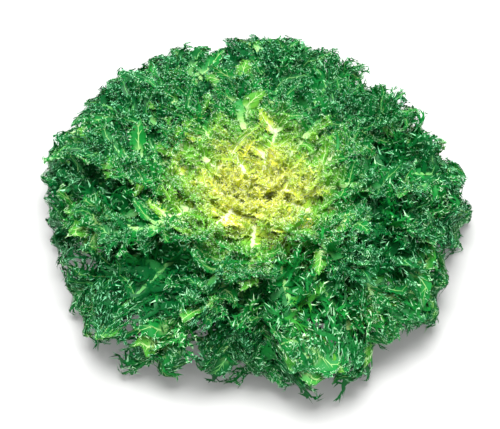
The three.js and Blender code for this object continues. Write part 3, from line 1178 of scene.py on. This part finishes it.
def leaf_tone_group() -> bpy.types.NodeTree:
    """The node group that gives a leaf's colour from its map: rim to heart one way, rib to tooth the other,
    with a painted highlight at the tooth's point.

    Returns:
        The group, with the outputs Color, Gloss and Height.
    """
    name = "leaf tone"
    if name in bpy.data.node_groups:
        return bpy.data.node_groups[name]
    group = bpy.data.node_groups.new(name, "ShaderNodeTree")
    for label, value in (("Freshness", 0.0), ("Mottle", MOTTLE)):
        socket = group.interface.new_socket(label, in_out="INPUT", socket_type="NodeSocketFloat")
        socket.default_value = value
    for label, kind in (("Color", "Color"), ("Gloss", "Float"), ("Height", "Float")):
        group.interface.new_socket(label, in_out="OUTPUT", socket_type=f"NodeSocket{kind}")
    tree = NodeTree(group)
    inside = tree.add("NodeGroupInput")
    outside = tree.add("NodeGroupOutput")
    uv = tree.add("ShaderNodeUVMap", uv_map=UV_MAP)
    split = tree.add("ShaderNodeSeparateXYZ")
    tree.link(uv.outputs["UV"], split.inputs["Vector"])
    tone = tree.math("ADD", split.outputs["X"], inside.outputs["Freshness"])
    reach = split.outputs["Y"]
    spread = tree.add("ShaderNodeMapping")
    spread.inputs["Scale"].default_value = STREAK_SCALE
    tree.link(uv.outputs["UV"], spread.inputs["Vector"])
    streaks = tree.noise(spread.outputs["Vector"], 1.0, STREAK_DETAIL, noise_dimensions="2D")
    shift = tree.math("MULTIPLY", tree.math("SUBTRACT", streaks, 0.5), inside.outputs["Mottle"])
    tone = tree.math("ADD", tone, shift)
    rib, blade, tip = (tree.ramp(tone, GREENS[part]) for part in ("rib", "blade", "tip"))
    colour = tree.blend(tree.mask(reach, *BLADE_REACH), rib, blade)
    # The tips' pale colour over the points: a painted highlight
    colour = tree.blend(tree.mask(reach, *PAINTED_HIGHLIGHT_REACH), colour, tip)
    flecks = tree.math("MULTIPLY", tree.mask(streaks, *FLECK_NOISE), tree.mask(tone, *FLECK_TONE))
    colour = tree.blend(tree.math("MULTIPLY", flecks, FLECK_STRENGTH), colour, FLECK_COLOUR)
    tree.link(colour, outside.inputs["Color"])
    tree.link(tree.math("MULTIPLY_ADD", streaks, *ROUGHNESS), outside.inputs["Gloss"])
    tree.link(streaks, outside.inputs["Height"])
    return group


@dataclass(frozen=True)
class LeafFinish:
    """The finish of one stage of leaves: satin, with some light passing into the blade."""

    name: str
    freshness: float
    mottle: float
    subsurface: float
    glow_depth: float
    glow_colour: tuple = (0.9, 1.0, 0.3)
    specular: float = 0.16
    bump: tuple = (0.155, 0.0004)  # strength, and height in metres

    def material(self) -> bpy.types.Material:
        """The stage's material, made once.

        Returns:
            The material.
        """
        if self.name in bpy.data.materials:
            return bpy.data.materials[self.name]
        material, tree, shader = new_material(self.name)
        tone = tree.add("ShaderNodeGroup", node_tree=leaf_tone_group())
        tone.inputs["Freshness"].default_value = self.freshness
        tone.inputs["Mottle"].default_value = self.mottle
        tree.dress(shader, tone.outputs["Height"], self.bump, {
            "Base Color": tone.outputs["Color"],
            "Roughness": tone.outputs["Gloss"],
            "Specular IOR Level": self.specular,
            "Subsurface Weight": self.subsurface,
            "Subsurface Radius": self.glow_colour,
            "Subsurface Scale": self.glow_depth,
        })
        return material


class Stage(Enum):
    """The stages of leaves, from the outside to the heart, with their finishes."""

    OUTER = LeafFinish("outer leaf", 0.0, 0.10, 0.10, 0.0012)
    MIDDLE = LeafFinish("middle leaf", 0.01, 0.12, 0.15, 0.0015)
    INNER = LeafFinish("inner leaf", 0.02, 0.14, 0.28, 0.0018)
    HEART = LeafFinish("heart leaf", 0.03, 0.16, 0.4, 0.0022)

    @property
    def word(self) -> str:
        """The stage's word in node names."""
        return self.name.lower()


@dataclass
class Rosette:
    """All the leaves of the head."""

    plan: HeadPlan = field(default_factory=HeadPlan)
    sizes: LeafSizes = field(default_factory=LeafSizes)

    def shelf(self) -> dict[Cut, list[Sprig]]:
        """The sprigs that the leaves copy.

        Returns:
            The sprigs, by how finely they are cut.
        """
        return {
            cut: [Sprig(LOBE_PLANS[cut], SPRIG_SEED * place + i) for i in range(SPRIGS_OF_EACH[cut])]
            for place, cut in enumerate(Cut, start=1)
        }

    def build(self) -> list[bpy.types.Object]:
        """Makes each leaf in the place of its solid.

        Returns:
            The leaves' objects.
        """
        sprigs = self.shelf()
        envelope = Envelope(self.plan)
        nodes = [
            (stage, node)
            for stage in Stage
            for node in sorted(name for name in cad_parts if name.startswith(f"{stage.word}_leaf"))
        ]
        pieces = []
        for index, (stage, node) in enumerate(nodes):
            leaf = Leaf(self.plan, self.sizes, envelope, sprigs, node, index, len(nodes))
            piece = leaf.build(stage.value)
            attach(piece, "root")
            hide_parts(node)
            LOG.info("%s: %d triangles", piece.name, triangles(piece))
            pieces.append(piece)
        return pieces


@dataclass(frozen=True)
class StumpFinish:
    """The finish of the cut stem: cream flesh, a browned cut face and a pale green skin."""

    name: str = "stem"
    cream: tuple = (0.80, 0.80, 0.58)
    green: tuple = (0.50, 0.62, 0.30)
    brown: tuple = (0.36, 0.20, 0.09)
    brown_radius: tuple = (0.010, 0.016)
    face_height: float = 0.0015
    green_height: tuple = (0.002, 0.03)
    grain_scale: float = 260.0
    grain_detail: float = 4.0
    ring_waviness: float = 0.006
    fibre_strength: float = 0.7
    roughness: tuple = (0.3, 0.35)  # how much the grain adds, and the least
    bump: tuple = (0.5, 0.0006)  # strength, and height in metres
    subsurface: float = 0.2
    glow_depth: float = 0.003

    def material(self) -> bpy.types.Material:
        """The stem's material.

        Returns:
            The material.
        """
        material, tree, shader = new_material(self.name)
        place = tree.add("ShaderNodeTexCoord").outputs["Object"]
        split = tree.add("ShaderNodeSeparateXYZ")
        tree.link(place, split.inputs["Vector"])
        grain = tree.noise(place, self.grain_scale, self.grain_detail)
        x, y, z = split.outputs
        radius = tree.math("SQRT", tree.math("ADD", tree.math("MULTIPLY", x, x), tree.math("MULTIPLY", y, y)))
        ring = tree.mask(tree.math("MULTIPLY_ADD", grain, self.ring_waviness, radius), *self.brown_radius)
        fibres = tree.math("MULTIPLY", grain, self.fibre_strength)
        face = tree.math("LESS_THAN", z, self.face_height)
        browned = tree.math("MULTIPLY", face, tree.math("MAXIMUM", ring, fibres))
        colour = tree.blend(tree.mask(z, *self.green_height), (*self.cream, 1.0), (*self.green, 1.0))
        colour = tree.blend(browned, colour, (*self.brown, 1.0))
        tree.dress(shader, grain, self.bump, {
            "Base Color": colour,
            "Roughness": tree.math("MULTIPLY_ADD", grain, *self.roughness),
            "Subsurface Weight": self.subsurface,
            "Subsurface Scale": self.glow_depth,
        })
        return material


@dataclass
class Stump:
    """The short cut stem that carries the leaves: a turned body with leaf scars and a cut face."""

    plan: HeadPlan = field(default_factory=HeadPlan)
    sides: int = 64
    rings: int = 30
    insets: tuple = (0.18, 0.3, 0.5)
    edge_round: float = 0.8
    scars: int = 13
    scar_depth: float = 0.35
    scar_lean: float = 0.45
    scar_start: tuple = (1.0, 5.0)
    core_radius: float = 0.35
    pith_radius: float = 6.5
    pith_edge: tuple = (0.4, 1.0)
    pith_depth: float = 0.5
    smooth_angle: float = 45.0

    def build(self) -> bpy.types.Object:
        """Makes the stump in the place of its solid.

        Returns:
            The stump's object.
        """
        bpy.ops.object.select_all(action="DESELECT")
        height = self.plan.stump_profile[-1][1]
        middle = (0, 0, height / 2)
        bpy.ops.mesh.primitive_cylinder_add(vertices=self.sides, radius=1.0, depth=height, location=middle)
        stump = bpy.context.object
        stump.name = "stem_stump_cut"
        bpy.ops.object.transform_apply(location=True, rotation=True, scale=True)
        self.ringed(stump)
        self.shaped(stump)
        stump.data.materials.append(StumpFinish().material())
        bpy.ops.object.shade_smooth_by_angle(angle=math.radians(self.smooth_angle))
        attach(stump, "root")
        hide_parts("stem_stump")
        LOG.info("%s: %d triangles", stump.name, triangles(stump))
        return stump

    def ringed(self, stump: bpy.types.Object) -> None:
        """Adds rings up the side by a subdivision of its upright edges, and rings on the cut face by insets.

        Args:
            stump: the plain cylinder.
        """
        bpy.ops.object.mode_set(mode="EDIT")
        bpy.ops.mesh.select_all(action="DESELECT")
        shape = bmesh.from_edit_mesh(stump.data)
        for edge in shape.edges:
            a, b = (corner.co for corner in edge.verts)
            edge.select = abs(a.z - b.z) > self.edge_round
        bmesh.update_edit_mesh(stump.data)
        bpy.ops.mesh.subdivide(number_cuts=self.rings)
        for thickness in self.insets:
            bpy.ops.mesh.select_all(action="DESELECT")
            shape = bmesh.from_edit_mesh(stump.data)
            for face in shape.faces:
                face.select = len(face.verts) > 4 and face.normal.z < 0
            bmesh.update_edit_mesh(stump.data)
            bpy.ops.mesh.inset(thickness=thickness)
        bpy.ops.object.mode_set(mode="OBJECT")

    def shaped(self, stump: bpy.types.Object) -> None:
        """Gives the rings their distances from the axis, with leaf scars on the side and a dented pith below.

        Args:
            stump: the ringed cylinder, 1 mm in radius.
        """
        profile = np.array(self.plan.stump_profile, float)
        points = np.array([corner.co for corner in stump.data.vertices])
        side = np.hypot(points[:, 0], points[:, 1])
        angle = np.arctan2(points[:, 1], points[:, 0])
        height = points[:, 2]
        reach = np.interp(height, profile[:, 1], profile[:, 0])
        reach = reach - self.edge_round * np.clip(1 - height / self.edge_round, 0, 1) ** 2
        turns = angle * self.scars + height * self.scar_lean
        scars = self.scar_depth * (1 - np.sqrt(np.abs(np.sin(turns / 2)))) * ramp(*self.scar_start, height)
        radius = side * np.maximum(reach - scars, self.core_radius)
        pith = 1 - ramp(*self.pith_edge, radius / self.pith_radius)
        dent = self.pith_depth * pith * (height < self.edge_round)
        moved = np.stack([np.cos(angle) * radius, np.sin(angle) * radius, height + dent], 1) * MM
        stump.data.vertices.foreach_set("co", moved.astype(np.float32).ravel())
        stump.data.update()


@dataclass(frozen=True)
class Lamp:
    """One square area light that faces the head: its place and side in metres, and its power in watts."""

    name: str
    place: tuple
    side: float
    power: float


@dataclass
class Studio:
    """The plain pale floor, the soft lights and the camera. Lengths are in metres."""

    target: tuple = (-0.004, -0.0076, 0.0244)
    distance: float = 1.5
    elevation: float = 50.0
    lens: float = 143.0
    lamps: tuple = (Lamp("key", (-0.02, 0.18, 1.6), 1.25, 56.0), Lamp("fill", (0.5, -1.2, 1.3), 1.2, 3.0))
    surround: float = 0.56
    floor_side: float = 12.0
    floor_drop: float = 0.0003
    floor_colour: tuple = (0.5, 0.5, 0.495, 1.0)
    floor_roughness: float = 0.9
    floor_glow: float = 0.12
    white: tuple = (1.0, 1.0, 1.0, 1.0)

    def build(self) -> None:
        """Sets up all of it."""
        self.floor()
        for lamp in self.lamps:
            self.light(lamp)
        self.world()
        self.camera()

    def floor(self) -> None:
        """A wide pale floor just under the cut face."""
        bpy.ops.object.select_all(action="DESELECT")
        bpy.ops.mesh.primitive_plane_add(size=self.floor_side, location=(0, 0, -self.floor_drop))
        floor = bpy.context.object
        floor.name = "floor"
        material, tree, shader = new_material(floor.name)
        for name, value in (
            ("Base Color", self.floor_colour), ("Roughness", self.floor_roughness),
            ("Emission Color", self.white), ("Emission Strength", self.floor_glow),
        ):
            tree.feed(shader.inputs[name], value)
        floor.data.materials.append(material)

    def light(self, lamp: Lamp) -> None:
        """Hangs one lamp.

        Args:
            lamp: its sizes.
        """
        data = bpy.data.lights.new(lamp.name, "AREA")
        data.size = lamp.side
        data.energy = lamp.power
        light = bpy.data.objects.new(lamp.name, data)
        light.location = lamp.place
        aim = Vector(self.target) - Vector(lamp.place)
        light.rotation_euler = aim.to_track_quat("-Z", "Y").to_euler()
        bpy.context.collection.objects.link(light)

    def world(self) -> None:
        """An even white surround, shown by a plain standard view."""
        world = bpy.data.worlds.new("surround")
        world.use_nodes = True
        background = world.node_tree.nodes["Background"]
        background.inputs["Color"].default_value = self.white
        background.inputs["Strength"].default_value = self.surround
        bpy.context.scene.world = world
        bpy.context.scene.view_settings.view_transform = "Standard"

    def camera(self) -> None:
        """The camera at the photograph's height, far off with a long lens."""
        data = bpy.data.cameras.new("camera")
        data.lens = self.lens
        camera = bpy.data.objects.new("camera", data)
        lift = math.radians(self.elevation)
        back = Vector((0, -math.cos(lift), math.sin(lift)))
        camera.location = Vector(self.target) + back * self.distance
        camera.rotation_euler = (-back).to_track_quat("-Z", "Y").to_euler()
        bpy.context.collection.objects.link(camera)
        bpy.context.scene.camera = camera


def main() -> None:
    logging.basicConfig(level=logging.INFO, format="%(message)s")
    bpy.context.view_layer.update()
    pieces = [Stump().build(), *Rosette().build()]
    Studio().build()
    LOG.info("triangles in all: %d", sum(triangles(piece) for piece in pieces))


if __name__ == "__main__":
    main()
